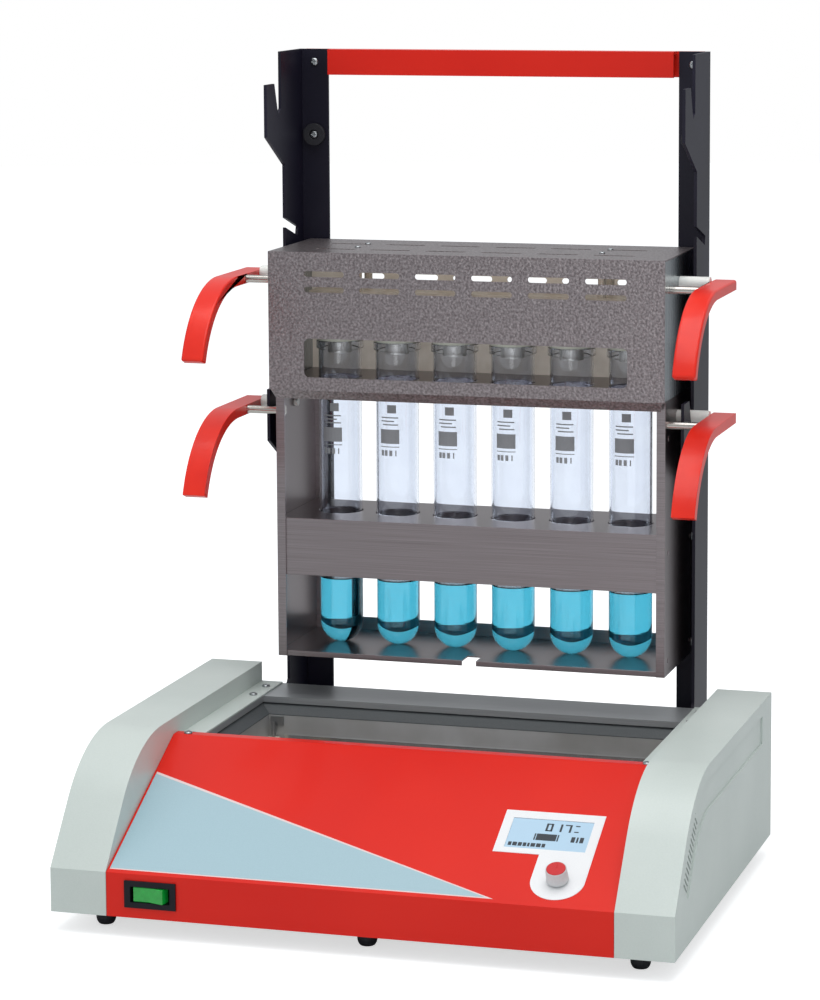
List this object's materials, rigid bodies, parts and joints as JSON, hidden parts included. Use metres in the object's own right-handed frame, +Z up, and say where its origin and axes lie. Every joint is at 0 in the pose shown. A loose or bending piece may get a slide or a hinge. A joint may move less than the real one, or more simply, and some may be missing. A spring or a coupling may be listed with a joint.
{
  "type": "block digester",
  "caption": "Infrared block digester: low grey and red housing with an open heating well, a steel rack of test tubes hung on two hooked uprights behind it, and an exhaust hood on the tubes.",
  "frame": {"origin": "middle of the bounding box at the level of the feet' undersides", "axes": "+Z up, +X to the operator's right, the operator stands on the -Y side"},
  "size_m": [0.5676, 0.5142, 0.7645],
  "materials": {
    "cover_coating": "satin light grey powder coat with a green tinge",
    "red_coating": "glossy red powder coat",
    "tray_steel": "satin zinc",
    "deck_steel": "semi-gloss",
    "collar_paint": "dark grey, matt",
    "liner_steel": "dull, heat-tinted",
    "insulation": "matt fibre board",
    "quartz": "frosted",
    "white_ceramic": "matt",
    "reflector": "polished",
    "probe_steel": "satin",
    "plate_film": "satin white film",
    "lcd": "pale blue liquid-crystal window",
    "black_plastic": "matt black",
    "brass": "satin",
    "shaft_steel": "turned",
    "knob_plastic": "pale grey, satin",
    "red_plastic": "glossy red",
    "green_plastic": "glossy green, translucent",
    "board": "green solder mask",
    "heat_sink_metal": "extruded, satin",
    "rubber": "matt black",
    "screw_steel": "satin",
    "upright_paint": "satin blue-black powder coat",
    "rack_steel": "brushed stainless steel",
    "polished_steel": "polished stainless steel",
    "white_sleeve": "satin white plastic",
    "tube_glass": "clear",
    "liquid": "clear blue liquid",
    "hammered_steel": "embossed stainless steel",
    "hood_side_steel": "smooth stainless steel",
    "manifold_steel": "satin stainless steel",
    "seal_plastic": "pale heat-proof plastic"
  },
  "bodies": {
    "housing": {"base_tray": "tray_steel", "left_cover": "cover_coating", "right_cover": "cover_coating", "front_panel": "red_coating", "rear_panel": "cover_coating", "deck_frame": "deck_steel", "well_collar": "collar_paint", "well_liner": "liner_steel", "insulation_boards": "insulation", "heater_tubes": "quartz", "heater_ceramics": "white_ceramic", "reflectors": "reflector", "temperature_probe": "probe_steel", "display_plate": "plate_film", "display_module": "lcd", "encoder_body": "black_plastic", "switch_housing": "black_plastic", "control_board": "board", "heat_sink": "heat_sink_metal", "mains_inlet": "black_plastic", "rubber_feet": "rubber", "housing_screws": "screw_steel", "left_upright": "upright_paint", "right_upright": "upright_paint", "crossbar": "red_coating", "upright_screws": "screw_steel", "buffers": "rubber"},
    "rack": {"rack_left_side": "rack_steel", "rack_right_side": "rack_steel", "rack_top_plate": "rack_steel", "rack_shelf": "rack_steel", "rack_bottom_plate": "rack_steel", "rack_rivets": "screw_steel", "rack_rods": "polished_steel", "rack_bars": "white_sleeve", "rack_left_grip": "red_plastic", "rack_right_grip": "red_plastic", "tube_1": "tube_glass", "tube_2": "tube_glass", "tube_3": "tube_glass", "tube_4": "tube_glass", "tube_5": "tube_glass", "tube_6": "tube_glass", "sample_liquids": "liquid"},
    "hood": {"hood_wrap": "hammered_steel", "hood_left_side": "hood_side_steel", "hood_right_side": "hood_side_steel", "exhaust_manifold": "manifold_steel", "manifold_studs": "screw_steel", "tube_seals": "seal_plastic", "hood_screws": "screw_steel", "hood_rods": "polished_steel", "hood_bars": "white_sleeve", "hood_left_grip": "red_plastic", "hood_right_grip": "red_plastic"},
    "rocker": {"rocker": "green_plastic"},
    "push_plunger": {"encoder_plunger": "brass"},
    "knob": {"encoder_shaft": "shaft_steel", "knob": "knob_plastic", "knob_cap": "red_plastic"}
  },
  "joints": [
    {"name": "rack_lift", "type": "slide", "parent": "housing", "child": "rack", "axis": [0, 0, 1], "range_m": [0, 0.03]},
    {"name": "hood_lift", "type": "slide", "parent": "rack", "child": "hood", "axis": [0, 0, 1], "range_m": [0, 0.06]},
    {"name": "switch_rock", "type": "hinge", "parent": "housing", "child": "rocker", "pos_m": [-0.189, -0.24565, 0.0399], "axis": [0, 0, 1], "range_deg": [0, 18]},
    {"name": "knob_push", "type": "slide", "parent": "housing", "child": "push_plunger", "axis": [0, 0.4379, -0.899], "range_m": [0, 0.0012], "stiffness_N_per_m": 2000, "springref_m": -0.001},
    {"name": "knob_turn", "type": "hinge", "parent": "push_plunger", "child": "knob", "pos_m": [0.1742, -0.22198, 0.07245], "axis": [0, -0.4379, 0.899], "continuous": true}
  ]
}
